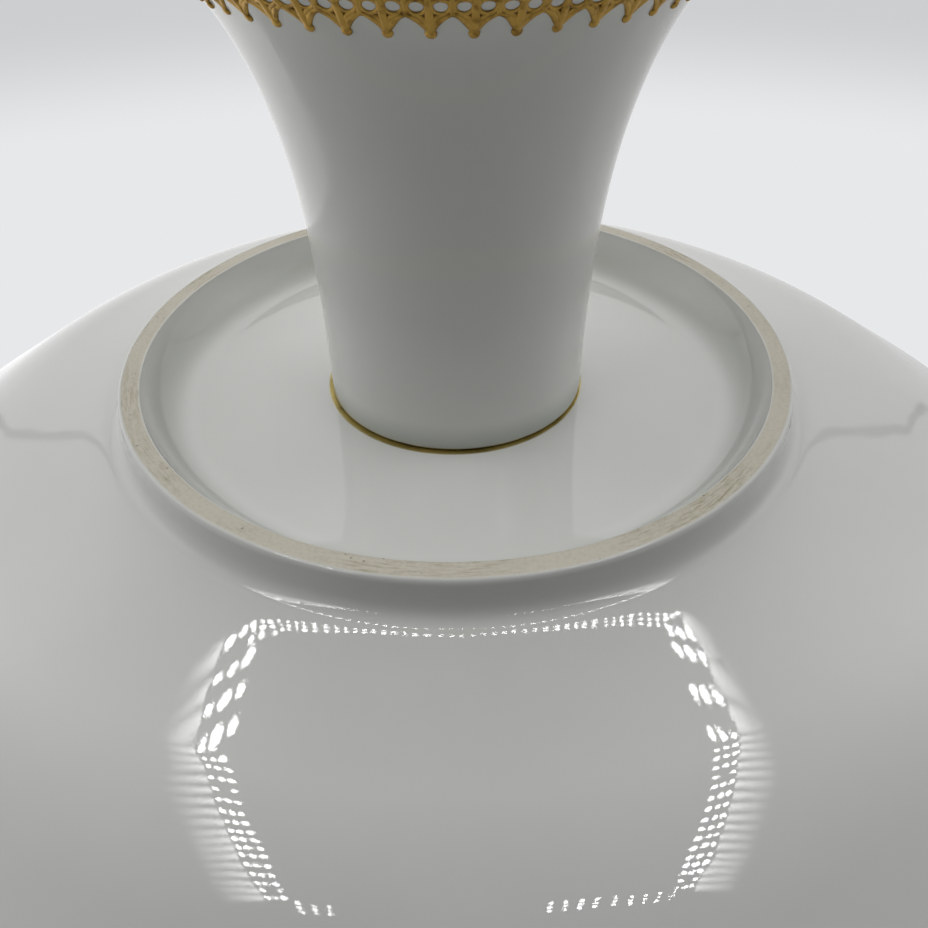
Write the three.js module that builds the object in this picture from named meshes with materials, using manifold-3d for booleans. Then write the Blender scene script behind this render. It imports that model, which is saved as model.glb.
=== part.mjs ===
// A footed fruit bowl of glazed porcelain: a shallow dish and a hollow trumpet pedestal, fired
// apart and clamped together by one screw through the middle. Lengths are in millimetres, +Z is
// up, and the origin is the centre of the pedestal's foot on the table.

import * as THREE from 'three';
import { mergeVertices } from 'three/addons/utils/BufferGeometryUtils.js';
import Module from 'manifold-3d';

const wasm = await Module();
wasm.setup();

// Bowl
const RIM_RADIUS = 125;            // to the middle of the rounded lip
const RIM_HEIGHT = 35.8;           // middle of the lip above the plane of the foot ring
const RIM_THICKNESS = 3.4;
const RIM_SLOPE = 33;              // degrees from level, of the wall where it meets the lip
const WALL_START_RADIUS = 65.2;    // where the wall leaves the foot ring's fillet
const WALL_START_HEIGHT = 6.5;
const WALL_START_SLOPE = 15;       // degrees from level
const WALL_THICKNESS = 4.6;        // under the bend
const WALL_BEND_START = 0.69;      // share of the way from the fillet to the corner of the bend
const WALL_BEND_END = 0.31;        // share of the way from that corner to the lip
const FLOOR_BEND_END = 0.5;        // share of the way from the floor's own bend to the wall's
const RING_RADIUS = 60;            // to the middle of the unglazed band
const RING_BAND = 2.8;
const RING_EDGE = 0.8;             // rounding on both edges of the band
const RING_EDGE_DRAFT = 0.2;       // how far that rounding leans off upright
const RING_RECESS = 8.2;           // from the band to the floor inside the ring
const RING_COVE = 9;               // width of the cove between the ring and that floor
const COVE_PULL = 0.62;            // share of its width that the cove stays level
const COVE_TURN = 0.5;             // share of its depth where it is upright
const RING_DRAFT = 1.2;            // how far the ring's two sides lean off upright
const FILLET_PULL = 0.52;          // shares of WALL_START_HEIGHT that shape the fillet outside
const FILLET_TURN = 0.95;          // the ring
const BOWL_FLOOR = 5.5;            // porcelain over the sunk floor
const BOWL_FLAT_RADIUS = 50;       // of the level floor inside the bowl

// Pedestal
const PEDESTAL_HEIGHT = 84;
const NECK_RADIUS = 24.2;
const NECK_EDGE = 0.8;
const NECK_PULL = 38;              // how far the neck runs straight before it flares
const FOOT_RADIUS = 50;
const FOOT_EDGE = 1.8;             // height of the rounded foot edge
const FOOT_LAND = 3.2;             // width of the level band that stands on the table
const LAND_CHAMFER_WIDTH = 0.8;    // off the inner edge of that band
const LAND_CHAMFER_HEIGHT = 0.7;
const FLARE_PULL_RADIUS = 26;      // the two say how sharply the trumpet turns outwards
const FLARE_PULL_HEIGHT = 14;
const PEDESTAL_WALL = 4;
const FOOT_WALL = 3.4;
const WEB = 6;                     // closed end that the screw clamps

// Joint between the two
const JOINT_GAP = 0.3;             // open line round the gilded edge of the joint
const WASHER_SEAT = 0.9;           // depth of the seat in the pedestal's narrow end
const WASHER_SEAT_RADIUS = 19;
const WASHER_PLAY = 0.5;           // round the soft washer in its seat

// Screw and what it clamps
const BOLT_RADIUS = 3;
const BOLT_TAIL = 5;               // thread below the nut
const BOLT_CHAMFER = 0.6;
const BOLT_HOLE = 4.5;             // radius of the hole through the porcelain
const THREAD_PLAY = 0.3;
const HEAD_RADIUS = 7.5;
const HEAD_HEIGHT = 4.4;
const HEAD_EDGE = 1.2;             // straight edge under the dome
const DOME_SHOULDER = 1;           // how far under the crown the dome begins to turn in
const DOME_CROWN = 0.55;           // share of the head's radius that pulls the crown flat
const SLOT_WIDTH = 1.4;
const SLOT_DEPTH = 1.6;
const SLOT_OVERRUN = 2;            // of the cutter past both sides of the head
const ROSETTE_RADIUS = 17;
const ROSETTE_SHEET = 0.9;
const ROSETTE_CROWN = 9.5;         // radius of the raised middle that carries the head
const ROSETTE_LIFT = 0.3;          // between the petal edge and the glaze
const ROSETTE_PETALS = 12;
const PETAL_DEPTH = 0.9;           // how far the petals wave in and out
const PETAL_PULL = 0.35;           // share of the skirt's width that stays level at each end
const ROSETTE_PAD = 1.8;
const ROSETTE_PAD_RADIUS = 8.5;
const INNER_PAD = 1.5;
const INNER_PAD_RADIUS = 14;
const CLAMP_WASHER = 1.5;
const CLAMP_WASHER_RADIUS = 12;
const SPRING_WASHER = 1.6;
const SPRING_WASHER_RADIUS = 6.1;
const SPRING_WASHER_SPLIT = 14;    // degrees
const NUT_HEIGHT = 5;
const NUT_ACROSS_FLATS = 10;
const NUT_SIDES = 6;
const NUT_CHAMFER = 0.9;
const NUT_CHAMFER_SLOPE = 30;      // degrees

// Facets
const PORCELAIN_SEGMENTS = 64;
const HARDWARE_SEGMENTS = 24;
const PETAL_SEGMENTS = 4;          // round each petal
const WALL_STEPS = 10;
const FILLET_STEPS = 6;
const FLOOR_BEND_STEPS = 3;
const PETAL_STEPS = 4;             // down the skirt
const FOOT_STEPS = 3;
const EDGE_STEPS = 2;
const SAME_POINT = 1e-5;           // closer than this, two points are one

// Levels worked out from the sizes above
const jointFloor = PEDESTAL_HEIGHT + JOINT_GAP;
const ringPlane = jointFloor - RING_RECESS;
const bowlFloor = jointFloor + BOWL_FLOOR;
const webUnderside = PEDESTAL_HEIGHT - WEB;
const radians = THREE.MathUtils.degToRad;

const porcelain = new THREE.MeshStandardMaterial({ color: 0xd9dcd8, roughness: 0.12, metalness: 0 });
const brass = new THREE.MeshStandardMaterial({ color: 0xb9923f, roughness: 0.28, metalness: 1 });
const steel = new THREE.MeshStandardMaterial({ color: 0xa9abad, roughness: 0.38, metalness: 1 });
const rubber = new THREE.MeshStandardMaterial({ color: 0xd8d3c6, roughness: 0.8, metalness: 0 });

// Turns an outline of [radius, height] points round the Z axis. One that starts on the axis also
// ends there, and any other is closed on itself.
function turned(points, segments) {
  const closed = points[0][0] > 0 ? [...points, points[0]] : points;
  const geometry = new THREE.LatheGeometry(closed.map(([r, z]) => new THREE.Vector2(r, z)), segments);
  geometry.rotateX(Math.PI / 2);
  return outward(geometry);
}

// A lathe winds its faces by the direction of its outline, so a body found inside out is turned.
function outward(geometry) {
  const index = geometry.index.array;
  const position = geometry.attributes.position;
  const corner = [new THREE.Vector3(), new THREE.Vector3(), new THREE.Vector3()];
  let volume = 0;
  for (let i = 0; i < index.length; i += 3) {
    corner.forEach((point, k) => point.fromBufferAttribute(position, index[i + k]));
    volume += corner[0].dot(corner[1].cross(corner[2]));
  }
  if (volume < 0) {
    for (let i = 0; i < index.length; i += 3) {
      [index[i + 1], index[i + 2]] = [index[i + 2], index[i + 1]];
    }
  }
  return geometry;
}

function curvePoints(curve, steps) {
  return curve.getPoints(steps).map((point) => [point.x, point.y]);
}

function quadratic(start, pull, end, steps) {
  return curvePoints(
    new THREE.QuadraticBezierCurve(
      new THREE.Vector2(...start), new THREE.Vector2(...pull), new THREE.Vector2(...end)), steps);
}

function cubic(start, pullOut, pullIn, end, steps) {
  return curvePoints(
    new THREE.CubicBezierCurve(
      new THREE.Vector2(...start), new THREE.Vector2(...pullOut),
      new THREE.Vector2(...pullIn), new THREE.Vector2(...end)), steps);
}

// Where the line leaving `a` at one slope meets the line leaving `b` at another, in degrees.
function crossing(a, slopeA, b, slopeB) {
  const riseA = Math.tan(radians(slopeA));
  const riseB = Math.tan(radians(slopeB));
  const r = (b[1] - a[1] + riseA * a[0] - riseB * b[0]) / (riseA - riseB);
  return [r, a[1] + riseA * (r - a[0])];
}

function between(a, b, share) {
  return [a[0] + (b[0] - a[0]) * share, a[1] + (b[1] - a[1]) * share];
}

// Joins runs of points into one outline, leaving out a point that repeats the one before it.
function outline(...runs) {
  const points = [];
  for (const point of runs.flat()) {
    const last = points.at(-1);
    if (!last || Math.hypot(point[0] - last[0], point[1] - last[1]) > SAME_POINT) {
      points.push(point);
    }
  }
  return points;
}

// Manifold bodies, for the pieces that are cut
function solid(geometry) {
  const bare = geometry.clone();
  bare.deleteAttribute('normal');
  bare.deleteAttribute('uv');
  const merged = mergeVertices(bare, SAME_POINT);
  const corners = merged.index.array;
  const kept = [];
  for (let i = 0; i < corners.length; i += 3) {
    const [a, b, c] = corners.slice(i, i + 3);
    if (a !== b && b !== c && c !== a) {
      kept.push(a, b, c);
    }
  }
  return new wasm.Manifold(new wasm.Mesh({
    numProp: 3,
    vertProperties: Float32Array.from(merged.attributes.position.array),
    triVerts: Uint32Array.from(kept),
  }));
}

function surface(body) {
  const mesh = body.getMesh();
  const geometry = new THREE.BufferGeometry();
  geometry.setAttribute('position', new THREE.BufferAttribute(mesh.vertProperties, 3));
  geometry.setIndex(new THREE.BufferAttribute(mesh.triVerts, 1));
  geometry.computeVertexNormals();
  return geometry;
}

// Bowl. The outline runs from the screw hole along the underside, over the lip and back inside.
function bowlGeometry() {
  const up = (height) => ringPlane + height;
  const bandInner = RING_RADIUS - RING_BAND / 2;
  const bandOuter = RING_RADIUS + RING_BAND / 2;
  const ringInner = bandInner - RING_EDGE;
  const ringOuter = bandOuter + RING_EDGE;
  const coveEnd = ringInner - RING_COVE;

  const lip = [RIM_RADIUS, up(RIM_HEIGHT)];
  const lipRadius = RIM_THICKNESS / 2;
  const rimSlope = radians(RIM_SLOPE);
  const lipAcross = [lipRadius * Math.sin(rimSlope), lipRadius * Math.cos(rimSlope)];
  const wallTop = [lip[0] + lipAcross[0], lip[1] - lipAcross[1]];
  const insideTop = [lip[0] - lipAcross[0], lip[1] + lipAcross[1]];
  const wallStart = [WALL_START_RADIUS, up(WALL_START_HEIGHT)];
  const wallBend = crossing(wallStart, WALL_START_SLOPE, wallTop, RIM_SLOPE);
  const wallSlope = radians(WALL_START_SLOPE);
  const insideStart = [
    wallStart[0] - WALL_THICKNESS * Math.sin(wallSlope),
    wallStart[1] + WALL_THICKNESS * Math.cos(wallSlope)];
  const insideBend = crossing(insideStart, WALL_START_SLOPE, insideTop, RIM_SLOPE);
  const flatEnd = [BOWL_FLAT_RADIUS, bowlFloor];
  const floorBend = crossing(flatEnd, 0, insideBend, WALL_START_SLOPE);
  const floorBendEnd = between(floorBend, insideBend, FLOOR_BEND_END);

  const lipArc = new THREE.Path();
  lipArc.absarc(lip[0], lip[1], lipRadius, rimSlope - Math.PI / 2, rimSlope + Math.PI / 2, false);

  return turned(outline(
    [[BOLT_HOLE, jointFloor]],
    cubic([coveEnd, jointFloor], [coveEnd + RING_COVE * COVE_PULL, jointFloor],
      [ringInner - RING_DRAFT, up(RING_RECESS * COVE_TURN)], [ringInner, up(RING_EDGE)],
      FILLET_STEPS),
    quadratic([ringInner, up(RING_EDGE)], [ringInner + RING_EDGE_DRAFT, up(0)],
      [bandInner, up(0)], EDGE_STEPS),
    quadratic([bandOuter, up(0)], [ringOuter - RING_EDGE_DRAFT, up(0)],
      [ringOuter, up(RING_EDGE)], EDGE_STEPS),
    cubic([ringOuter, up(RING_EDGE)], [ringOuter + RING_DRAFT, up(WALL_START_HEIGHT * FILLET_PULL)],
      crossing([ringOuter, up(WALL_START_HEIGHT * FILLET_TURN)], 0, wallStart, WALL_START_SLOPE),
      wallStart, FILLET_STEPS),
    quadratic(between(wallStart, wallBend, WALL_BEND_START), wallBend,
      between(wallBend, wallTop, WALL_BEND_END), WALL_STEPS),
    curvePoints(lipArc, FILLET_STEPS),
    quadratic(between(insideBend, insideTop, WALL_BEND_END), insideBend, floorBendEnd, WALL_STEPS),
    quadratic(floorBendEnd, floorBend, flatEnd, FLOOR_BEND_STEPS),
    [[BOLT_HOLE, bowlFloor]],
  ), PORCELAIN_SEGMENTS);
}

// Pedestal. The outline runs down the outside of the trumpet, round its foot and up the hollow.
function pedestalGeometry() {
  const neckInner = NECK_RADIUS - PEDESTAL_WALL;
  const flareEnd = [FOOT_RADIUS, FOOT_EDGE];
  const landOuter = FOOT_RADIUS - FOOT_EDGE;
  const landInner = landOuter - FOOT_LAND;
  const hollowEnd = [landInner - LAND_CHAMFER_WIDTH, LAND_CHAMFER_HEIGHT];
  const hollowStart = [neckInner, webUnderside];
  return turned(outline(
    quadratic([NECK_RADIUS - NECK_EDGE, PEDESTAL_HEIGHT], [NECK_RADIUS, PEDESTAL_HEIGHT],
      [NECK_RADIUS, PEDESTAL_HEIGHT - NECK_EDGE], EDGE_STEPS),
    cubic([NECK_RADIUS, PEDESTAL_HEIGHT - NECK_EDGE], [NECK_RADIUS, PEDESTAL_HEIGHT - NECK_PULL],
      [FLARE_PULL_RADIUS, FLARE_PULL_HEIGHT], flareEnd, WALL_STEPS),
    quadratic(flareEnd, [FOOT_RADIUS, 0], [landOuter, 0], FOOT_STEPS),
    [[landInner, 0]],
    [hollowEnd],
    cubic(hollowEnd, [FLARE_PULL_RADIUS - FOOT_WALL, FLARE_PULL_HEIGHT - FOOT_WALL / 2],
      [neckInner, PEDESTAL_HEIGHT - NECK_PULL - PEDESTAL_WALL], hollowStart, WALL_STEPS),
    [[BOLT_HOLE, webUnderside]],
    [[BOLT_HOLE, PEDESTAL_HEIGHT - WASHER_SEAT]],
    [[WASHER_SEAT_RADIUS, PEDESTAL_HEIGHT - WASHER_SEAT]],
    [[WASHER_SEAT_RADIUS, PEDESTAL_HEIGHT]],
  ), PORCELAIN_SEGMENTS);
}

// Flat round washer between two levels
function washerGeometry(outer, bottom, top) {
  const bore = BOLT_RADIUS + THREAD_PLAY;
  return turned([[bore, bottom], [outer, bottom], [outer, top], [bore, top]], HARDWARE_SEGMENTS);
}

// Pressed brass rosette: a crown on the pad, and a skirt of petals that falls to the glaze
const rosetteSeat = bowlFloor + ROSETTE_PAD;
const headSeat = rosetteSeat + ROSETTE_SHEET;

function rosetteGeometry() {
  const bore = BOLT_RADIUS + THREAD_PLAY;
  const edge = bowlFloor + ROSETTE_LIFT;
  const pull = (ROSETTE_RADIUS - ROSETTE_CROWN) * PETAL_PULL;
  const geometry = turned(outline(
    [[bore, rosetteSeat]],
    cubic([ROSETTE_CROWN, rosetteSeat], [ROSETTE_CROWN + pull, rosetteSeat],
      [ROSETTE_RADIUS - pull, edge], [ROSETTE_RADIUS, edge], PETAL_STEPS),
    cubic([ROSETTE_RADIUS, edge + ROSETTE_SHEET], [ROSETTE_RADIUS - pull, edge + ROSETTE_SHEET],
      [ROSETTE_CROWN + pull, headSeat], [ROSETTE_CROWN, headSeat], PETAL_STEPS),
    [[bore, headSeat]],
  ), ROSETTE_PETALS * PETAL_SEGMENTS);
  const position = geometry.attributes.position;
  for (let i = 0; i < position.count; i += 1) {
    const x = position.getX(i);
    const y = position.getY(i);
    const radius = Math.hypot(x, y);
    const share = THREE.MathUtils.smoothstep(radius, ROSETTE_CROWN, ROSETTE_RADIUS);
    const wave = Math.abs(Math.cos(Math.atan2(y, x) * ROSETTE_PETALS / 2)) - 1;
    const stretch = 1 + share * wave * PETAL_DEPTH / ROSETTE_RADIUS;
    position.setXY(i, x * stretch, y * stretch);
  }
  return geometry;
}

// Screw: a domed head with a slot, and a plain shank where the real one is threaded
const padLevel = webUnderside - INNER_PAD;
const clampLevel = padLevel - CLAMP_WASHER;
const springLevel = clampLevel - SPRING_WASHER;
const nutLevel = springLevel - NUT_HEIGHT;

function boltGeometry() {
  const tip = nutLevel - BOLT_TAIL;
  const crown = headSeat + HEAD_HEIGHT;
  const body = solid(turned(outline(
    [[0, tip], [BOLT_RADIUS - BOLT_CHAMFER, tip], [BOLT_RADIUS, tip + BOLT_CHAMFER]],
    [[BOLT_RADIUS, headSeat], [HEAD_RADIUS, headSeat]],
    cubic([HEAD_RADIUS, headSeat + HEAD_EDGE], [HEAD_RADIUS, crown - DOME_SHOULDER],
      [HEAD_RADIUS * DOME_CROWN, crown], [0, crown], FILLET_STEPS),
  ), HARDWARE_SEGMENTS));
  const cutter = new THREE.BoxGeometry(
    2 * (HEAD_RADIUS + SLOT_OVERRUN), SLOT_WIDTH, SLOT_DEPTH * 2);
  cutter.translate(0, 0, crown);
  return surface(body.subtract(solid(cutter)));
}

// Split lock washer
function springWasherGeometry() {
  const half = radians(SPRING_WASHER_SPLIT / 2);
  const ring = new THREE.Shape();
  ring.absarc(0, 0, SPRING_WASHER_RADIUS, half, 2 * Math.PI - half, false);
  ring.absarc(0, 0, BOLT_RADIUS + THREAD_PLAY, 2 * Math.PI - half, half, true);
  const geometry = new THREE.ExtrudeGeometry(
    ring, { depth: SPRING_WASHER, bevelEnabled: false, curveSegments: HARDWARE_SEGMENTS });
  geometry.translate(0, 0, springLevel);
  return geometry;
}

// Hexagon nut with both faces chamfered
function nutGeometry() {
  const corner = NUT_ACROSS_FLATS / 2 / Math.cos(Math.PI / NUT_SIDES);
  const corners = [];
  for (let i = 0; i < NUT_SIDES; i += 1) {
    const angle = i * 2 * Math.PI / NUT_SIDES;
    corners.push(new THREE.Vector2(corner * Math.cos(angle), corner * Math.sin(angle)));
  }
  const hexagon = new THREE.Shape(corners);
  const block = new THREE.ExtrudeGeometry(hexagon, { depth: NUT_HEIGHT, bevelEnabled: false });
  block.translate(0, 0, nutLevel);
  const bore = BOLT_RADIUS + THREAD_PLAY;
  const rise = NUT_CHAMFER * Math.tan(radians(NUT_CHAMFER_SLOPE));
  const rounder = turned([
    [bore, nutLevel], [corner - NUT_CHAMFER, nutLevel], [corner, nutLevel + rise],
    [corner, springLevel - rise], [corner - NUT_CHAMFER, springLevel], [bore, springLevel],
  ], HARDWARE_SEGMENTS);
  return surface(solid(block).intersect(solid(rounder)));
}

function piece(name, geometry, material) {
  const mesh = new THREE.Mesh(geometry, material);
  mesh.name = name;
  return mesh;
}

const seatFloor = PEDESTAL_HEIGHT - WASHER_SEAT;
const fruitBowl = new THREE.Group();
fruitBowl.add(
  piece('bowl', bowlGeometry(), porcelain),
  piece('pedestal', pedestalGeometry(), porcelain),
  piece('joint_washer', washerGeometry(WASHER_SEAT_RADIUS - WASHER_PLAY, seatFloor, jointFloor), rubber),
  piece('rosette_pad', washerGeometry(ROSETTE_PAD_RADIUS, bowlFloor, rosetteSeat), rubber),
  piece('rosette', rosetteGeometry(), brass),
  piece('bolt', boltGeometry(), brass),
  piece('inner_pad', washerGeometry(INNER_PAD_RADIUS, padLevel, webUnderside), rubber),
  piece('clamp_washer', washerGeometry(CLAMP_WASHER_RADIUS, clampLevel, padLevel), steel),
  piece('spring_washer', springWasherGeometry(), steel),
  piece('nut', nutGeometry(), steel),
);

export default fruitBowl;
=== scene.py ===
import math
from functools import reduce

import bmesh
import bpy
import numpy as np
from mathutils import Matrix, Vector


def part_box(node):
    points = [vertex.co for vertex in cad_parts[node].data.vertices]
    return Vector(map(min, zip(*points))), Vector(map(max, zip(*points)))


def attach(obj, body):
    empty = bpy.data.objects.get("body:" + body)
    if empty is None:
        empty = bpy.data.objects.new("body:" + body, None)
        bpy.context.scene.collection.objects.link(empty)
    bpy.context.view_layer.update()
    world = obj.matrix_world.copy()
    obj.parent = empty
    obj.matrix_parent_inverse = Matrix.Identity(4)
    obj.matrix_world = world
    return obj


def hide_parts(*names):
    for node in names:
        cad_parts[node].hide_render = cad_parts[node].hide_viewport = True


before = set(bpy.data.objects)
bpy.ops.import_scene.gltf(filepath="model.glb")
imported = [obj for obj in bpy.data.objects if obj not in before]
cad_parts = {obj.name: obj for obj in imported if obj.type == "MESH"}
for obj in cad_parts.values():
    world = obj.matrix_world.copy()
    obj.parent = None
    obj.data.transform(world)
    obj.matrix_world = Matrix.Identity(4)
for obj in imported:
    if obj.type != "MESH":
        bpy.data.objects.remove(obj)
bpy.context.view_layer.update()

# The pedestal
# A hollow trumpet of hard porcelain, slip-cast in a plaster mould and fired standing on its foot.
# It is glazed inside and out, apart from the bare band that stands on the table, and its narrow
# end is gilded where it meets the bowl. Lengths are in millimetres until a mesh is made.
MILLIMETRE = 0.001
SAME_PLACE = 1e-6
KIND_OF_VALUE = {int: "Int", float: "Float", tuple: "Color"}


def low(node, axis):
    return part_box(node)[0][axis] / MILLIMETRE


def high(node, axis):
    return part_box(node)[1][axis] / MILLIMETRE


def bezier(points, steps):
    """Points along a Bezier run of any degree, both ends included."""
    pulls = np.array(points, float)
    degree = len(pulls) - 1
    t = np.linspace(0, 1, steps + 1)[:, None]
    return sum(math.comb(degree, i) * (1 - t) ** (degree - i) * t ** i * pulls[i]
               for i in range(degree + 1))


def traced(start, *runs):
    """An outline of (radius, height) points. A run is (steps, pull, ..., end), which is straight
    where it has no pull, or an array of points that are already made."""
    points = [start]
    for run in runs:
        made = run if isinstance(run, np.ndarray) else bezier([points[-1], *run[1:]], run[0])
        for point in made:
            if math.dist(point, points[-1]) > SAME_PLACE:
                points.append(tuple(point))
    return points


class Reading:
    """A value that a node gives. Arithmetic on it adds the nodes that work it out."""

    def __init__(self, tree, socket):
        self.tree = tree
        self.socket = socket

    def by(self, operation, *others):
        return worked(self.tree, operation, self, *others)

    def vector(self, operation, *others, result="Vector"):
        values = dict(enumerate((self, *others)))
        return add(self.tree, "ShaderNodeVectorMath", values, operation=operation)[result]

    def scaled(self, share):
        feeds = {0: self, "Scale": share}
        return add(self.tree, "ShaderNodeVectorMath", feeds, operation="SCALE")["Vector"]

    def length(self):
        return self.vector("LENGTH", result="Value")

    def __add__(self, other):
        return self.by("ADD", other)

    def __sub__(self, other):
        return self.by("SUBTRACT", other)

    def __rsub__(self, other):
        return worked(self.tree, "SUBTRACT", other, self)

    def __mul__(self, other):
        return self.by("MULTIPLY", other)

    def __truediv__(self, other):
        return self.by("DIVIDE", other)

    def __rtruediv__(self, other):
        return worked(self.tree, "DIVIDE", other, self)

    def __abs__(self):
        return self.by("ABSOLUTE")


class Made:
    """A node, whose outputs are read by name or by number."""

    def __init__(self, tree, node):
        self.tree = tree
        self.node = node

    def __getitem__(self, name):
        return Reading(self.tree, socket_of(self.node.outputs, name))


def socket_of(sockets, name):
    """The socket of that number, or the one of that name that is in use: some nodes hold one for
    each kind of value."""
    if isinstance(name, int):
        return sockets[name]
    return next(s for s in sockets if s.name == name and s.enabled)


def feed(tree, node, feeds):
    """Sets a node's inputs to plain values, or links them to readings."""
    for name, value in feeds.items():
        socket = socket_of(node.inputs, name)
        if isinstance(value, Reading):
            tree.links.new(value.socket, socket)
        else:
            socket.default_value = value


def add(tree, kind, feeds=None, **settings):
    """Adds a node with these settings and feeds its inputs."""
    node = tree.nodes.new(kind)
    for name, value in settings.items():
        setattr(node, name, value)
    feed(tree, node, feeds or {})
    return Made(tree, node)


def worked(tree, operation, *values):
    """A Math node's result."""
    return add(tree, "ShaderNodeMath", dict(enumerate(values)), operation=operation)[0]


def position(tree):
    return add(tree, "GeometryNodeInputPosition")[0]


def split(vector):
    return add(vector.tree, "ShaderNodeSeparateXYZ", {"Vector": vector})


def joined(tree, x=0.0, y=0.0, z=0.0):
    return add(tree, "ShaderNodeCombineXYZ", {"X": x, "Y": y, "Z": z})[0]


def group(name, kind, inputs, outputs):
    """A node group, with inputs as {name: kind or first value} and outputs as {name: kind}."""
    tree = bpy.data.node_groups.new(name, kind + "NodeTree")
    for title, value in inputs.items():
        sort = value if isinstance(value, str) else KIND_OF_VALUE[type(value)]
        made = tree.interface.new_socket(title, in_out="INPUT", socket_type="NodeSocket" + sort)
        if sort is not value:
            made.default_value = value
    for title, sort in outputs.items():
        tree.interface.new_socket(title, in_out="OUTPUT", socket_type="NodeSocket" + sort)
    return tree, add(tree, "NodeGroupInput")


def delivered(form, finish, name):
    """Ends a form's tree: real geometry in its finish, at the output of that name."""
    form = add(form.tree, "GeometryNodeRealizeInstances", {"Geometry": form})[0]
    form = add(form.tree, "GeometryNodeSetMaterial", {"Geometry": form, "Material": finish})[0]
    add(form.tree, "NodeGroupOutput", {name: form})


def mesh_object(name, points, edges=(), faces=()):
    mesh = bpy.data.meshes.new(name)
    mesh.from_pydata([tuple(p) for p in points], list(edges), list(faces))
    made = bpy.data.objects.new(name, mesh)
    bpy.context.scene.collection.objects.link(made)
    return made


def closed(piece):
    """Merges doubled points, turns the faces outwards and shades them smooth."""
    form = bmesh.new()
    form.from_mesh(piece.data)
    bmesh.ops.remove_doubles(form, verts=form.verts, dist=SAME_PLACE)
    bmesh.ops.dissolve_degenerate(form, edges=form.edges, dist=SAME_PLACE / 10)
    bmesh.ops.recalc_face_normals(form, faces=form.faces)
    for face in form.faces:
        face.smooth = True
    form.to_mesh(piece.data)
    form.free()
    return piece


def settled(piece):
    """Makes what the piece's modifiers show its plain mesh, and takes them off."""
    shown = piece.evaluated_get(bpy.context.evaluated_depsgraph_get())
    mesh = bpy.data.meshes.new_from_object(shown)
    piece.modifiers.clear()
    plain = piece.data
    piece.data = mesh
    bpy.data.meshes.remove(plain)
    mesh.name = piece.name
    return piece


def grown(host, tree, values):
    """Runs a Geometry Nodes tree on the host and keeps what it makes."""
    modifier = host.modifiers.new(tree.name, "NODES")
    modifier.node_group = tree
    for item in tree.interface.items_tree:
        if item.in_out == "INPUT" and item.name in values:
            modifier[item.identifier] = values[item.name]
    return settled(host)


# The wheel: turns an outline round the Z axis.
turning, given = group("Turned Form", "Geometry", {
    "Outline": "Geometry", "Segments": 64, "Finish": "Material"}, {"Form": "Geometry"})
count = add(turning, "GeometryNodeAttributeDomainSize", {"Geometry": given["Outline"]},
            component="MESH")["Point Count"]
rows = count - 1
grid = add(turning, "GeometryNodeMeshGrid", {
    "Size X": given["Segments"], "Size Y": rows,
    "Vertices X": given["Segments"] + 1, "Vertices Y": count})["Mesh"]
place = split(position(turning))
turn = place["X"] / given["Segments"] * math.tau
row = (place["Y"] + rows * 0.5).by("ROUND")
point = add(turning, "GeometryNodeSampleIndex", {
    "Geometry": given["Outline"], "Value": position(turning), "Index": row},
    data_type="FLOAT_VECTOR")["Value"]
turned_point = add(turning, "ShaderNodeVectorRotate", {"Vector": point, "Angle": turn},
                   rotation_type="Z_AXIS")["Vector"]
form = add(turning, "GeometryNodeSetPosition", {"Geometry": grid, "Position": turned_point})[0]
form = add(turning, "GeometryNodeMergeByDistance", {"Geometry": form, "Distance": SAME_PLACE})[0]
delivered(form, given["Finish"], "Form")


def turned(name, points, segments, finish):
    """A piece turned from an outline. An outline off the axis is closed on itself."""
    if points[0][0] > 0:
        points = [*points, points[0]]
    line = [(r * MILLIMETRE, 0, z * MILLIMETRE) for r, z in points]
    host = mesh_object(name, line, [(i, i + 1) for i in range(len(line) - 1)])
    return closed(grown(host, turning, {"Segments": segments, "Finish": finish}))


def srgb(*levels):
    """A colour given in 0 to 255 levels, as the shader's linear values."""
    linear = [(v / 255 / 12.92) if v / 255 < 0.04045 else ((v / 255 + 0.055) / 1.055) ** 2.4
              for v in levels]
    return (*linear, 1.0)


def blended(share, a, b, kind="RGBA"):
    feeds = {"Factor": share, "A": a, "B": b}
    return add(share.tree, "ShaderNodeMix", feeds, data_type=kind)["Result"]


def ramped(value, start, end, smooth=True):
    """0 below start and 1 past end."""
    feeds = {"Value": value, "From Min": start, "From Max": end}
    return add(value.tree, "ShaderNodeMapRange", feeds,
               interpolation_type="SMOOTHSTEP" if smooth else "LINEAR")["Result"]


def noise(at, scale, detail, roughness=0.5, result="Fac"):
    feeds = {"Vector": at, "Scale": scale, "Detail": detail, "Roughness": roughness}
    return add(at.tree, "ShaderNodeTexNoise", feeds)[result]


# Where on a turned piece a point lies: how far from the axis and from the middle of the gold line,
# which the brush laid a little off it, how high, and how far round.
JOINT_LINE_MIDDLE = (0.00025, -0.00025, 0.0)
BAND_STRETCH = 150
whereabouts, given = group("Place on the Wheel", "Shader", {}, {
    "Position": "Vector", "Radius": "Float", "Joint Radius": "Float", "Height": "Float",
    "Band": "Vector"})
at = add(whereabouts, "ShaderNodeTexCoord")["Object"]
place = split(at)
flat = joined(whereabouts, place["X"], place["Y"])
radius = flat.length()
around = place["Y"].by("ARCTAN2", place["X"])
band = joined(whereabouts, around.by("COSINE"), around.by("SINE"), radius * BAND_STRETCH)
add(whereabouts, "NodeGroupOutput", {
    "Position": at, "Radius": radius, "Height": place["Z"], "Band": band,
    "Joint Radius": flat.vector("SUBTRACT", JOINT_LINE_MIDDLE).length()})

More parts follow.
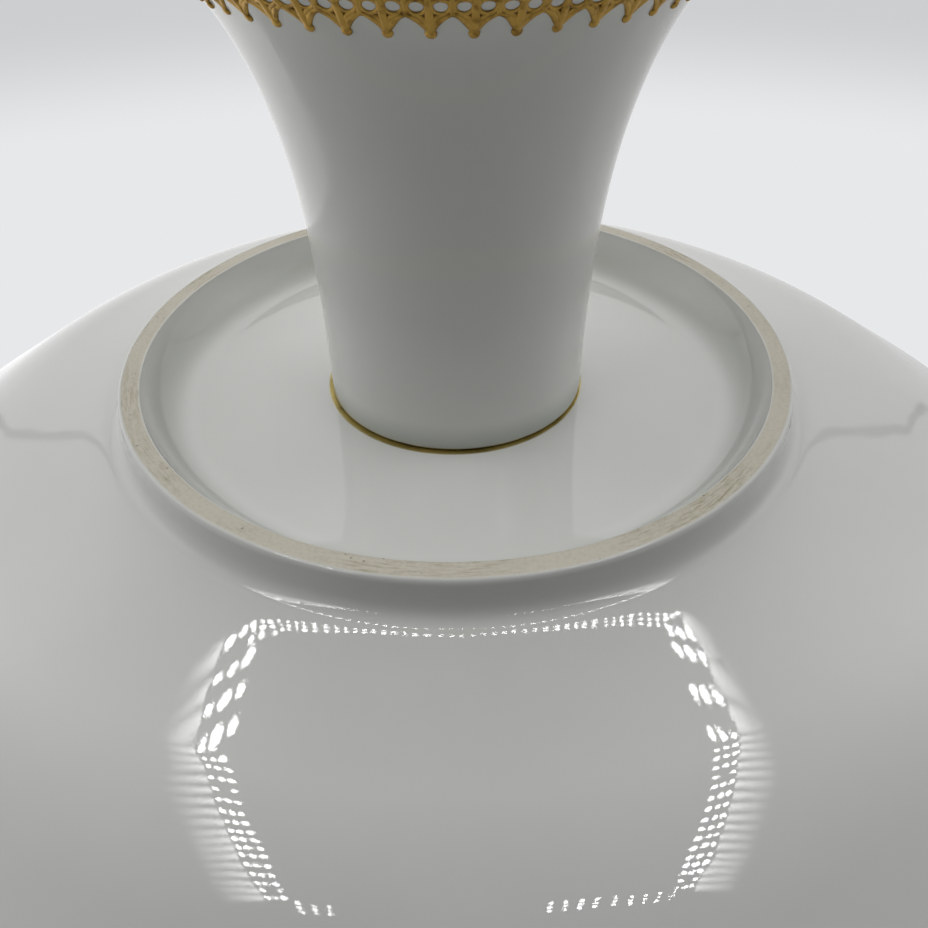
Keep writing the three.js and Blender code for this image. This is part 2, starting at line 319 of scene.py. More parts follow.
# A brushed or wiped band: 1 between two limits, with edges that wander as a hand does.
hand_band, given = group("Hand-laid Band", "Shader", {
    "Position": "Vector", "Measure": 0.0, "From": 0.0, "To": 0.0, "Softness": 0.0001,
    "Wander": 0.0002, "Wander Scale": 90.0}, {"Mask": "Float"})
wander = noise(given["Position"], given["Wander Scale"], 3.0) - 0.5
measure = wander * given["Wander"] + given["Measure"]
begun = ramped(measure, given["From"] - given["Softness"], given["From"] + given["Softness"])
ended = ramped(measure, given["To"] - given["Softness"], given["To"] + given["Softness"])
add(hand_band, "NodeGroupOutput", {"Mask": begun * (1.0 - ended)})

# Clear glaze over white body: faint clouds of tone, a few iron specks, and a skin that isn't
# quite flat, so that reflections swim. Its second colour serves both the clouds and painted
# shade: a mask darkens the glaze towards it as painted shade. Heights are in millimetres, as in
# the two groups below.
WHITE = (1, 1, 1, 1)
SURFACE = {"Colour": "Color", "Roughness": "Float", "Height": "Float"}
glaze, given = group("Fired Glaze", "Shader", {
    "Position": "Vector", "Colour": WHITE, "Cloud and Shade Colour": WHITE, "Painted Shade": 0.0,
    "Speck Share": 0.03}, SURFACE)
at = given["Position"]
cloud = noise(at, 22.0, 4.0)
cloudy = blended(ramped(cloud, 0.35, 0.7) * 0.14, given["Colour"], given["Cloud and Shade Colour"])
# Painted shade: the mask darkens the glaze towards the greyer second colour.
shaded_glaze = blended(given["Painted Shade"], cloudy, given["Cloud and Shade Colour"])
cells = add(glaze, "ShaderNodeTexVoronoi", {"Vector": at, "Scale": 95.0})
chance = add(glaze, "ShaderNodeSeparateColor", {"Color": cells["Color"]})
speck_reach = chance["Green"] * 0.035 + 0.02
speck = chance["Red"].by("LESS_THAN", given["Speck Share"])
speck = speck * (1.0 - ramped(cells["Distance"], 0.012, speck_reach))
speckled = blended(speck * 0.7, shaded_glaze, srgb(118, 108, 92))
swell = noise(at, 55.0, 2.0) * 0.10
peel = noise(at, 420.0, 2.0) * 0.003
prickle = noise(at, 2300.0, 1.0) * 0.0011
add(glaze, "NodeGroupOutput", {
    "Colour": speckled, "Roughness": ramped(cloud, 0.3, 0.8) * 0.02 + 0.015,
    "Height": swell + peel + prickle - speck * 0.05})

# Bare fired body where the glaze was wiped off: sandy, streaked along the wheel's turn and pitted.
biscuit, given = group("Bare Biscuit", "Shader", {
    "Position": "Vector", "Band": "Vector", "Colour": WHITE, "Stain Colour": WHITE,
    "Pit Share": 0.06}, SURFACE)
at = given["Position"]
streak = noise(given["Band"], 16.0, 6.0, 0.75)
patch = noise(at, 45.0, 3.0)
stain = ramped(streak, 0.42, 0.72) * ramped(patch, 0.4, 0.68)
stained = blended(stain, given["Colour"], given["Stain Colour"])
grit = noise(at, 1600.0, 2.0)
gritty = blended(ramped(grit, 0.4, 0.75) * 0.16, stained, given["Stain Colour"])
pits = add(biscuit, "ShaderNodeTexVoronoi", {"Vector": at, "Scale": 1100.0})
luck = add(biscuit, "ShaderNodeSeparateColor", {"Color": pits["Color"]})["Red"]
crowding = ramped(patch, 0.45, 0.62) * 1.4 + 0.12
pit = luck.by("LESS_THAN", given["Pit Share"] * crowding)
pit = pit * (1.0 - ramped(pits["Distance"], 0.08, 0.3))
add(biscuit, "NodeGroupOutput", {
    "Colour": blended(pit * 0.55, gritty, srgb(112, 104, 80)),
    "Roughness": grit * 0.15 + 0.72, "Height": grit * 0.03 - pit * 0.12})

# Metal that was turned, brushed or burnished: tarnish lies in patches, and the tool or the brush
# leaves fine marks, round the work where it turned.
worked_metal, given = group("Worked Metal", "Shader", {
    "Position": "Vector", "Band": "Vector", "Colour": WHITE, "Tarnish": WHITE,
    "Patch Scale": 210.0, "Grain": 900.0, "Turning Marks": 0.0, "Polish": 0.16}, SURFACE)
at = given["Position"]
patches = noise(at, given["Patch Scale"], 4.0)
grain = noise(at, given["Grain"], 3.0)
marks = noise(given["Band"].vector("MULTIPLY", (0.4, 0.4, 14.0)), 3.0, 4.0)
marked = given["Turning Marks"] * marks
add(worked_metal, "NodeGroupOutput", {
    "Colour": blended(ramped(patches, 0.45, 0.8), given["Colour"], given["Tarnish"]),
    "Roughness": grain * 0.22 + marked * 0.12 + given["Polish"],
    "Height": grain * 0.03 + marked * 0.05 + 0.04})

GLAZE_WHITE = srgb(217, 218, 215)
# A greyer glaze tone, used for the faint clouds and as painted shade round the foot ring and at the
# joint.
GLAZE_CLOUD_AND_SHADE = srgb(184, 188, 182)
BISCUIT_SAND = srgb(209, 204, 190)
BISCUIT_TAN = srgb(154, 146, 116)
OLD_GOLD = srgb(184, 166, 96)
BROWN_GOLD = srgb(140, 124, 62)
GOLD_SHINE = 0.6
GLAZE_IOR = 1.52
GLAZE_THICKNESS = 0.1


def material(name):
    """A material, its shader, and where on the wheel each of its points lies."""
    finish = bpy.data.materials.new(name)
    finish.use_nodes = True
    tree = finish.node_tree
    return finish, tree.nodes["Principled BSDF"], add(tree, "ShaderNodeGroup", node_tree=whereabouts)


def effect(at, shaders, feeds):
    """Places a shader group in the material that at is in, and feeds it."""
    takes = {item.name for item in shaders.interface.items_tree if item.in_out == "INPUT"}
    feeds = {name: at[name] for name in ("Position", "Band") if name in takes} | feeds
    return add(at.tree, "ShaderNodeGroup", feeds, node_tree=shaders)


def surfaced(shader, look, strength):
    """Gives the shader a look's colour, roughness and relief."""
    tree = look["Colour"].tree
    bump = add(tree, "ShaderNodeBump", {
        "Height": look["Height"], "Strength": strength, "Distance": MILLIMETRE})
    feed(tree, shader, {
        "Base Color": look["Colour"], "Roughness": look["Roughness"], "Normal": bump["Normal"]})


def porcelain(name, bare, gilded, painted_shade):
    """Glazed porcelain. bare and gilded list bands. A band lies where all of its limits hold:
    (measure, from, to, wander, softness), where measure is Radius, Joint Radius or Height.
    The last argument is (radius, spread, low, high): where the glaze is darkened as painted shade, near
    that radius and rising over that height range."""
    finish, shader, at = material(name)

    def limited(measure, *sizes):
        sizes = zip(("From", "To", "Wander", "Softness"), (v * MILLIMETRE for v in sizes))
        return effect(at, hand_band, {"Measure": at[measure], **dict(sizes)})["Mask"]

    def masked(bands):
        masks = [reduce(Reading.__mul__, [limited(*limit) for limit in band]) for band in bands]
        return reduce(lambda a, b: a.by("MAXIMUM", b), masks)

    # The glaze is darkened as painted shade near that radius, rising over that height range.
    middle, spread, bottom, top = (v * MILLIMETRE for v in painted_shade)
    near = 1.0 - ramped(abs(at["Radius"] - middle), 0.0, spread)
    deep = ramped(at["Height"], bottom, top) * at["Height"].by("LESS_THAN", top + MILLIMETRE)
    skin = effect(at, glaze, {
        "Colour": GLAZE_WHITE, "Cloud and Shade Colour": GLAZE_CLOUD_AND_SHADE, "Painted Shade": near * deep})
    body = effect(at, biscuit, {"Colour": BISCUIT_SAND, "Stain Colour": BISCUIT_TAN})
    gold = effect(at, worked_metal, {"Colour": OLD_GOLD, "Tarnish": BROWN_GOLD, "Polish": 0.26})
    wiped, painted = masked(bare), masked(gilded)
    look = {}
    for value, kind in (("Colour", "RGBA"), ("Roughness", "FLOAT"), ("Height", "FLOAT")):
        under = blended(wiped, skin[value], body[value], kind)
        look[value] = blended(painted, under, gold[value], kind)
    look["Height"] = look["Height"] - wiped * GLAZE_THICKNESS
    surfaced(shader, look, 1.0)
    feed(at.tree, shader, {"Metallic": painted * GOLD_SHINE, "IOR": GLAZE_IOR})
    return finish


neck_top = high("pedestal", 2)
foot_radius = high("pedestal", 0)
web_underside = high("inner_pad", 2)
neck_radius = 24.2
neck_edge = 0.5
neck_pull = 38.0
foot_edge = 1.8
foot_land = 3.2
flare_pull = (26.0, 14.0)
neck_wall = 4.0
foot_wall = 3.4
web_round = 2.0
heel_in, heel_up = 0.8, 0.7
screw_hole = 4.5
washer_seat = 0.9
washer_seat_radius = 19.0
seat_floor = neck_top - washer_seat
neck_bore = neck_radius - neck_wall
land_outer = foot_radius - foot_edge
land_inner = land_outer - foot_land
flare = bezier([(neck_radius, neck_top - neck_edge), (neck_radius, neck_top - neck_pull),
                flare_pull, (foot_radius, foot_edge)], 72)
pedestal_outline = traced(
    (neck_radius - neck_edge, neck_top),
    (8, (neck_radius, neck_top), (neck_radius, neck_top - neck_edge)),
    flare,
    (12, (foot_radius, 0), (land_outer, 0)),
    (6, (land_inner, 0)),
    (4, (land_inner - heel_in / 2, 0.2), (land_inner - heel_in, heel_up)),
    (56, (flare_pull[0] - foot_wall, flare_pull[1] - foot_wall / 2),
     (neck_bore, neck_top - neck_pull - neck_wall), (neck_bore, web_underside - web_round)),
    (8, (neck_bore, web_underside), (neck_bore - web_round, web_underside)),
    (6, (screw_hole, web_underside)),
    (3, (screw_hole, seat_floor)),
    (6, (washer_seat_radius, seat_floor)),
    (2, (washer_seat_radius, neck_top)),
    (4, (neck_radius - neck_edge, neck_top)))
beyond = 60
pedestal_finish = porcelain(
    "Pedestal Porcelain",
    bare=[[("Height", -1, 0.25, 0.25, 0.06),
           ("Radius", land_inner - 1.2, land_outer + 1.1, 0.5, 0.12)],
          [("Height", neck_top - 0.12, neck_top + 1, 0, 0.05),
           ("Radius", 0, neck_radius - 1.5, 0.3, 0.1)]],
    gilded=[[("Height", neck_top - 0.3, neck_top + 1, 0.2, 0.05),
             ("Radius", neck_radius - 1.3, beyond, 0, 0.05)],
            [("Height", 0.45, 3.6, 0.3, 0.05), ("Radius", 45, beyond, 0, 0.05)]],
    # Painted shade darkens the glaze on the neck towards its top, where it meets the bowl.
    painted_shade=(neck_radius, 12, neck_top - 6, neck_top))
pedestal = turned("pedestal_porcelain", pedestal_outline, 256, pedestal_finish)
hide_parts("pedestal")
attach(pedestal, "root")

# The bowl
# A shallow dish of the same porcelain, jiggered on a mould and fired upright on its foot ring, so
# the ring's rim was wiped bare of glaze. The floor inside the ring is sunk and glazed, and takes
# the pedestal. The lip is gilded, and so is a line round the joint.
ring_plane = low("bowl", 2)
joint_floor = high("joint_washer", 2)
bowl_floor = low("rosette_pad", 2)
rim_reach = high("bowl", 0)
lip_radius = 1.7
rim_radius = rim_reach - lip_radius
rim_height = 35.8
rim_slope = 33.0
fillet_pull = ((62.3, 4.6), (63.0, 5.97))
ledge, ledge_slope = (65.35, 6.46), 11.8
shoulder, shoulder_slope = (66.2, 6.66), 14.2
wall_start, wall_start_slope = (70.2, 7.77), 16.2
wall_dip, wall_dip_slope = (86.2, 12.15), 14.3
inside_start, inside_slope = (64.01, 10.94), 15.0
bend_share = 0.31
ring_radius = 60.0
ring_band = 2.8
ring_edge = 0.8
ring_inner_edge = 0.3
ring_cove = 9.0
cove_pull, cove_end_pull = 0.62, 1.2
flat_radius = 50.0


def crossing(a, slope_a, b, slope_b):
    """Where the line leaving a at one slope meets the line leaving b at another, in degrees."""
    rise_a, rise_b = math.tan(math.radians(slope_a)), math.tan(math.radians(slope_b))
    r = (b[1] - a[1] + rise_a * a[0] - rise_b * b[0]) / (rise_a - rise_b)
    return (r, a[1] + rise_a * (r - a[0]))


def above_ring(r, z):
    return (r, ring_plane + z)


def between(a, b, share):
    return (a[0] + (b[0] - a[0]) * share, a[1] + (b[1] - a[1]) * share)


band_inner, band_outer = ring_radius - ring_band / 2, ring_radius + ring_band / 2
ring_inner, ring_outer = band_inner - ring_inner_edge, band_outer + ring_edge
cove_end = band_inner - ring_edge - ring_cove
recess = joint_floor - ring_plane
lip = above_ring(rim_radius, rim_height)
lean = math.radians(rim_slope)
wall_top = (lip[0] + lip_radius * math.sin(lean), lip[1] - lip_radius * math.cos(lean))
inside_top = (lip[0] - lip_radius * math.sin(lean), lip[1] + lip_radius * math.cos(lean))
foot_of_ring, turn_out = above_ring(*ledge), above_ring(*shoulder)
start, dip = above_ring(*wall_start), above_ring(*wall_dip)
bend = crossing(dip, wall_dip_slope, wall_top, rim_slope)
lip_turn = np.linspace(lean - math.pi / 2, lean + math.pi / 2, 25)
lip_arc = np.column_stack([lip[0] + lip_radius * np.cos(lip_turn),
                           lip[1] + lip_radius * np.sin(lip_turn)])
flat_end = (flat_radius, bowl_floor)
inside_bend = crossing(above_ring(*inside_start), inside_slope, inside_top, rim_slope)
floor_bend = crossing(flat_end, 0, inside_bend, inside_slope)
inside_wall = np.array(traced(
    inside_top,
    (20, between(inside_bend, inside_top, bend_share)),
    (36, inside_bend, between(floor_bend, inside_bend, 0.5)),
    (20, floor_bend, flat_end)))
bowl_outline = traced(
    (screw_hole, joint_floor),
    (6, (cove_end, joint_floor)),
    (36, (cove_end + ring_cove * cove_pull, joint_floor),
     above_ring(ring_inner - cove_end_pull, recess / 2), above_ring(ring_inner, ring_inner_edge)),
    (8, above_ring(ring_inner, 0), above_ring(band_inner, 0)),
    (8, above_ring(band_outer, 0)),
    (8, above_ring(ring_outer - 0.2, 0), above_ring(ring_outer, ring_edge)),
    (36, above_ring(*fillet_pull[0]), above_ring(*fillet_pull[1]), foot_of_ring),
    (10, crossing(foot_of_ring, ledge_slope, turn_out, shoulder_slope), turn_out),
    (10, crossing(turn_out, shoulder_slope, start, wall_start_slope), start),
    (22, crossing(start, wall_start_slope, dip, wall_dip_slope), dip),
    (40, bend, between(bend, wall_top, bend_share)),
    (8, wall_top),
    lip_arc, inside_wall,
    (8, (screw_hole, bowl_floor)),
    (4, (screw_hole, joint_floor)))
bowl_finish = porcelain(
    "Bowl Porcelain",
    bare=[[("Radius", band_inner - 0.1, band_outer + 0.1, 0.3, 0.3),
           ("Height", ring_plane - 1, ring_plane + 0.5, 0.2, 0.2)]],
    gilded=[[("Radius", rim_radius - 1.4, rim_reach + 1, 0.4, 0.05),
             ("Height", lip[1] - 0.9, lip[1] + 3, 0, 0.05)],
            [("Joint Radius", neck_radius - 1.0, neck_radius + 0.5, 0.3, 0.22),
             ("Height", joint_floor - 1, joint_floor + 1, 0, 0.05)]],
    # Painted shade darkens the glaze round the foot ring, most in the cove inside it.
    painted_shade=(ring_inner - 1, 7, ring_plane + 1, joint_floor))
bowl = turned("bowl_porcelain", bowl_outline, 320, bowl_finish)
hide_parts("bowl")
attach(bowl, "root")

# The lace round the foot
# Forty-six pendants of raised gold paste, piped onto the glaze by hand and fired once more. Each
# hangs a bead from a body with two round windows; above are crossing lines, petals and the band.

# The nozzle: pipes each line of a flat drawing, and sets a bead on each single point.
piping, given = group("Piped Paste", "Geometry", {
    "Drawing": "Geometry", "Line Sides": 8, "Bead Steps": 2, "Flatness": 0.6,
    "Finish": "Material"}, {"Paste": "Geometry"})
width = add(piping, "GeometryNodeInputNamedAttribute", {"Name": "half_width"},
            data_type="FLOAT")["Attribute"]
neighbours = add(piping, "GeometryNodeInputMeshVertexNeighbors")["Vertex Count"]
loose = add(piping, "FunctionNodeCompare", {"A": neighbours, "B": 0},
            data_type="INT", operation="EQUAL")[0]
path = add(piping, "GeometryNodeMeshToCurve", {"Mesh": given["Drawing"]})[0]
nozzle = add(piping, "GeometryNodeCurvePrimitiveCircle", {
    "Resolution": given["Line Sides"], "Radius": 1.0})[0]
lines = add(piping, "GeometryNodeCurveToMesh", {
    "Curve": path, "Profile Curve": nozzle, "Scale": width, "Fill Caps": True})[0]
dabs = add(piping, "GeometryNodeMeshToPoints", {"Mesh": given["Drawing"], "Selection": loose})[0]
ball = add(piping, "GeometryNodeMeshIcoSphere", {
    "Radius": 1.0, "Subdivisions": given["Bead Steps"]})[0]
beads = add(piping, "GeometryNodeInstanceOnPoints", {
    "Points": dabs, "Instance": ball, "Scale": width})[0]
beads = add(piping, "GeometryNodeRealizeInstances", {"Geometry": beads})[0]
both = add(piping, "GeometryNodeJoinGeometry")
feed(piping, both.node, {0: beads})
feed(piping, both.node, {0: lines})
pressed = position(piping).vector("MULTIPLY", joined(piping, 1.0, 1.0, given["Flatness"]))
paste = add(piping, "GeometryNodeSetPosition", {"Geometry": both[0], "Position": pressed})[0]
delivered(paste, given["Finish"], "Paste")

# Sets one unit round the axis as often as asked, and lets the whole ring wander like handwork.
ringing, given = group("Set in a Ring", "Geometry", {
    "Unit": "Geometry", "Count": 12, "First Angle": 0.0, "Wander": 0.0, "Wander Scale": 300.0,
    "Seed": 1, "Finish": "Material"}, {"Ring": "Geometry"})
stations = add(ringing, "GeometryNodeMeshLine", {
    "Count": given["Count"], "Offset": (0.0, 0.0, 0.0)})[0]
number = add(ringing, "GeometryNodeInputIndex")[0]
angle = number * (math.tau / given["Count"]) + given["First Angle"]
spin = add(ringing, "FunctionNodeAxisAngleToRotation", {
    "Axis": (0.0, 0.0, 1.0), "Angle": angle})[0]
copies = add(ringing, "GeometryNodeInstanceOnPoints", {
    "Points": stations, "Instance": given["Unit"], "Rotation": spin})[0]
whole = add(ringing, "GeometryNodeRealizeInstances", {"Geometry": copies})[0]
where = position(ringing).vector("ADD", joined(ringing, given["Seed"]))
drift = noise(where, given["Wander Scale"], 2.0, result="Color")
drift = drift.vector("SUBTRACT", (0.5, 0.5, 0.5)).scaled(given["Wander"])
whole = add(ringing, "GeometryNodeSetPosition", {"Geometry": whole, "Offset": drift})[0]
whole = add(ringing, "GeometryNodeMergeByDistance", {
    "Geometry": whole, "Distance": SAME_PLACE})[0]
delivered(whole, given["Finish"], "Ring")


def drawn(name, strokes, dots):
    """A flat drawing: strokes are rows of (across, along, half width), and dots are single such
    points. Strokes are made on the left too where their middle isn't at 0."""
    points, edges = [], []
    for stroke in strokes:
        sides = (1, -1) if any(abs(x) > 0.01 for x, _, _ in stroke) else (1,)
        for side in sides:
            edges += [(len(points) + i, len(points) + i + 1) for i in range(len(stroke) - 1)]
            points += [(x * side, y, w) for x, y, w in stroke]
    points += dots
    piece = mesh_object(name, [(x * MILLIMETRE, y * MILLIMETRE, 0) for x, y, _ in points], edges)
    half_width = piece.data.attributes.new("half_width", "FLOAT", "POINT")
    half_width.data.foreach_set("value", [w * MILLIMETRE for _, _, w in points])
    return piece


def lengths_along(run):
    return np.concatenate([[0], np.cumsum(np.linalg.norm(np.diff(run, axis=0), axis=1))])


def wrapped(piece, run, pitch, count):
    """Lays a flat piece on a turned surface: its length follows the run of (radius, height) points
    from the run's start, and a width of one pitch takes one share of the circle."""
    run = np.array(run)
    lengths = lengths_along(run)
    slope = np.gradient(run, lengths, axis=0)
    flat = np.empty(len(piece.data.vertices) * 3)
    piece.data.vertices.foreach_get("co", flat)
    x, y, z = flat.reshape(-1, 3).T / MILLIMETRE
    r, h, rise_r, rise_h = (np.interp(y, lengths, v) for v in (*run.T, *slope.T))
    over = np.minimum(y, 0)
    r, h = r + rise_r * over - rise_h * z, h + rise_h * over + rise_r * z
    angle = x / pitch * math.tau / count
    placed = np.column_stack([r * np.cos(angle), r * np.sin(angle), h]) * MILLIMETRE
    piece.data.vertices.foreach_set("co", placed.ravel())
    return piece


def circle(x, y, radius, half_width, steps=12):
    turn = np.linspace(0, math.tau, steps + 1)
    return [(x + radius * math.cos(t), y + radius * math.sin(t), half_width) for t in turn]


def metal(name, colour, tarnish, patch_scale, grain, turning_marks, polish):
    finish, shader, at = material(name)
    surfaced(shader, effect(at, worked_metal, {
        "Colour": colour, "Tarnish": tarnish, "Patch Scale": patch_scale, "Grain": grain,
        "Turning Marks": turning_marks, "Polish": polish}), 0.6)
    shader.inputs["Metallic"].default_value = 1.0
    return finish


pendants = 46
bead_height = 14.4
pendant_radius = 35.7
first_pendant = math.radians(-94.8)
half = math.pi * pendant_radius / pendants
window = half / 2
pendant_strokes = [
    [(0, 0.3, 0.6), (0, 1.5, 0.62), (0, 2.8, 0.55), (0, 4.0, 0.46), (0, 5.4, 0.46)],
    [(0.15, 0.6, 0.5), (0.62, 1.35, 0.5), (1.05, 1.9, 0.48), (1.5, 2.32, 0.44), (2.0, 2.66, 0.38),
     (half, 2.8, 0.34)],
    [(0.3, 1.7, 0.42), (0.75, 2.3, 0.4), (1.2, 2.75, 0.36), (1.8, 3.0, 0.3)],
    [(half, 2.8, 0.38), (half, 3.9, 0.36), (half, 5.4, 0.4)],
    circle(window, 3.95, 1.05, 0.3)]
border_strokes = [
    [(0.0, 5.5, 0.42), (window, 5.35, 0.42), (half, 5.5, 0.42)],
    [(0.02, 6.3, 0.34), (window, 7.55, 0.3), (half, 8.8, 0.34), (window, 10.05, 0.3),
     (0.02, 11.3, 0.34)],
    [(half, 6.3, 0.34), (window, 7.55, 0.3), (0.02, 8.8, 0.34), (window, 10.05, 0.3),
     (half, 11.3, 0.34)],
    [(0.0, 11.9, 0.38), (half, 11.9, 0.38)],
    [(0.0, 12.4, 0.34), (0.62, 13.2, 0.3), (0.7, 14.1, 0.3), (0.02, 15.2, 0.32)],
    [(half, 12.4, 0.34), (half - 0.62, 13.2, 0.3), (half - 0.7, 14.1, 0.3),
     (half - 0.02, 15.2, 0.32)]]
pendant_beads = [(0, 0, 0.72), (0, 0.85, 0.6)]
border_beads = [(0, 8.8, 0.5), (half, 8.8, 0.5), (0, 11.9, 0.46), (half, 11.9, 0.46),
                (0, 13.7, 0.36), (half, 13.7, 0.36)]
gold_lace = metal("Raised Gold", srgb(190, 154, 80), srgb(118, 86, 32), 800.0, 1500.0, 0.0, 0.34)
hang = int(np.argmin(abs(flare[:, 1] - bead_height)))
foot_lace = drawn("foot_lace", pendant_strokes + border_strokes, pendant_beads + border_beads)
foot_lace = grown(foot_lace, piping, {
    "Line Sides": 8, "Bead Steps": 2, "Flatness": 0.6, "Finish": gold_lace})
foot_lace = wrapped(foot_lace, flare[hang:], 2 * half, pendants)
foot_lace = closed(grown(foot_lace, ringing, {
    "Count": pendants, "First Angle": first_pendant, "Wander": 0.0003, "Wander Scale": 420.0,
    "Seed": 4, "Finish": gold_lace}))
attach(foot_lace, "root")

# The washers of the joint
# A soft fibre washer in the pedestal's narrow end takes up the unevenness of two fired faces, and
# another under the rosette keeps brass off the glaze. Both were stamped from sheet.
bolt_radius = 3.0
play = 0.3
bore = bolt_radius + play


def fibre(name, colour, speck):
    finish, shader, at = material(name)
    surfaced(shader, effect(at, biscuit, {
        "Colour": colour, "Stain Colour": speck, "Pit Share": 0.3}), 0.8)
    return finish


def stamped(node, edge, bulge, finish, segments=96):
    """A flat washer the size of its node, with rolled edges and a rim that bulges a little."""
    outer, bottom, top = high(node, 0), low(node, 2), high(node, 2)
    piece = turned(node + "_piece", traced(
        (bore + edge, bottom),
        (5, (outer - edge, bottom)),
        (5, (outer - bulge, bottom), (outer - bulge, bottom + edge)),
        (6, (outer + bulge, (bottom + top) / 2), (outer - bulge, top - edge)),
        (5, (outer - bulge, top), (outer - edge, top)),
        (5, (bore + edge, top)),
        (4, (bore, top), (bore, top - edge)),
        (1, (bore, bottom + edge)),
        (4, (bore, bottom), (bore + edge, bottom))), segments, finish)
    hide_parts(node)
    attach(piece, "root")
    return piece


cork = fibre("Pressed Fibre", srgb(196, 182, 150), srgb(150, 128, 92))
for node, edge in (("joint_washer", 0.25), ("rosette_pad", 0.35)):
    stamped(node, edge, 0.06, cork)

# The rosette
# Twelve petals pressed from sheet brass over a former, with a beaded ring where the skirt falls
# away from the crown. It spreads the screw's load and hides the hole.
rosette_reach = 17.0
crown_reach = 9.5
sheet = 0.9
petals = 12
petal_depth = 0.9
skirt_lift = 0.3
edge_bulge = 0.12
rib_height, rib_spread = 0.22, 0.03
vein_depth, vein_place, vein_spread = 0.1, 0.12, 0.025
groove_depth, groove_radius, groove_spread = 0.16, 8.9, 0.28
lobe_rise, lobe_drop = 0.42, 0.2
head_seat = high("rosette_pad", 2) + sheet
skirt_top = bowl_floor + skirt_lift + sheet
polished_brass = metal("Polished Brass", srgb(206, 168, 92), srgb(166, 118, 50), 120.0, 700.0,
                       0.5, 0.14)
pull = (rosette_reach - crown_reach) * 0.35
upper = np.array(traced(
    (bore, head_seat),
    (16, (crown_reach, head_seat)),
    (30, (crown_reach + pull, head_seat), (rosette_reach - pull, skirt_top),
     (rosette_reach, skirt_top))))
edge_roll = bezier([(rosette_reach, skirt_top), (rosette_reach + edge_bulge, skirt_top - sheet / 2),
                    (rosette_reach, skirt_top - sheet)], 4)[1:-1]
lower = (upper - (0, sheet))[::-1]
section = np.vstack([upper, edge_roll, lower])


def hump(offset, spread):
    return math.exp(-(offset / spread) ** 2)


def skinned(rings, sides):
    """The faces between rings of points that are listed one after another."""
    return [(i * sides + j, i * sides + (j + 1) % sides, (i + 1) * sides + (j + 1) % sides,
             (i + 1) * sides + j) for i in range(rings - 1) for j in range(sides)]


petal_turn = np.linspace(-math.pi / petals, math.pi / petals, 19)
petal_points = []
for turn in petal_turn:
    lobe = abs(math.cos(turn * petals / 2))
    for r, z in section:
        share = np.clip((r - crown_reach) / (rosette_reach - crown_reach), 0, 1)
        share = share * share * (3 - 2 * share)
        halfway = 4 * share * (1 - share)
        spread = 1 + share * (lobe - 1) * petal_depth / rosette_reach
        rib = rib_height * halfway * hump(turn, rib_spread)
        veins = -vein_depth * halfway * hump(abs(turn) - vein_place, vein_spread)
        groove = -groove_depth * hump(r - groove_radius, groove_spread)
        rise = share * (lobe_rise * lobe - lobe_drop) + rib + veins + groove
        petal_points.append((r * spread * math.cos(turn), r * spread * math.sin(turn), z + rise))
rosette = mesh_object("rosette_pressing", np.array(petal_points) * MILLIMETRE,
                      faces=skinned(len(petal_turn), len(section)))
rosette = closed(grown(rosette, ringing, {"Count": petals, "Finish": polished_brass}))
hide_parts("rosette")
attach(rosette, "root")
rosette_bead = 0.52
bead_count = 36
bead_circle = 10.4
bead_seat = head_seat - 0.12
bead_ring = drawn("rosette_beads", [], [(0, 0, rosette_bead)])
bead_ring = grown(bead_ring, piping, {"Bead Steps": 2, "Flatness": 0.9, "Finish": polished_brass})
bead_ring = wrapped(bead_ring, [(bead_circle, bead_seat), (20, bead_seat)],
                    math.tau * bead_circle / bead_count, bead_count)
bead_ring = closed(grown(bead_ring, ringing, {"Count": bead_count, "Finish": polished_brass}))
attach(bead_ring, "root")

# The fixing screw
# A brass machine screw with a domed, slotted head, turned on a lathe and threaded M6. Its head
# draws the rosette down, and its tail takes the nut inside the pedestal.
LATHE_ERROR = 0.00002
THREAD_START = 0.0006
threading, given = group("Cut Thread", "Geometry", {
    "Blank": "Geometry", "Pitch": 0.001, "Depth": 0.0005, "Major Radius": 0.003, "Start": 0.0,
    "End": 0.02, "Run Out": 0.0015, "Finish": "Material"}, {"Screw": "Geometry"})
place = split(position(threading))
away = joined(threading, place["X"], place["Y"])
reach = away.length()
lead = place["Z"] / given["Pitch"] - place["Y"].by("ARCTAN2", place["X"]) / math.tau
ridge = abs(lead.by("FRACT") * 2.0 - 1.0)
cut = 1.0 - ramped(ridge, 0.08, 0.9, smooth=False)
begun = ramped(place["Z"], given["Start"], given["Start"] + THREAD_START)
ended = ramped(place["Z"], given["End"] - given["Run Out"], given["End"])
on_shank = (reach.by("GREATER_THAN", given["Major Radius"] - LATHE_ERROR)
            * reach.by("LESS_THAN", given["Major Radius"] + LATHE_ERROR))
sink = cut * begun * (1.0 - ended) * (on_shank * given["Depth"])
inward = away.vector("NORMALIZE").scaled(sink * -1.0)
screw = add(threading, "GeometryNodeSetPosition", {"Geometry": given["Blank"], "Offset": inward})[0]
delivered(screw, given["Finish"], "Screw")


def shaped(piece, *modifiers):
    """Applies modifiers given as (kind, settings)."""
    for kind, settings in modifiers:
        modifier = piece.modifiers.new(kind, kind)
        for name, value in settings.items():
            setattr(modifier, name, value)
    return settled(piece)


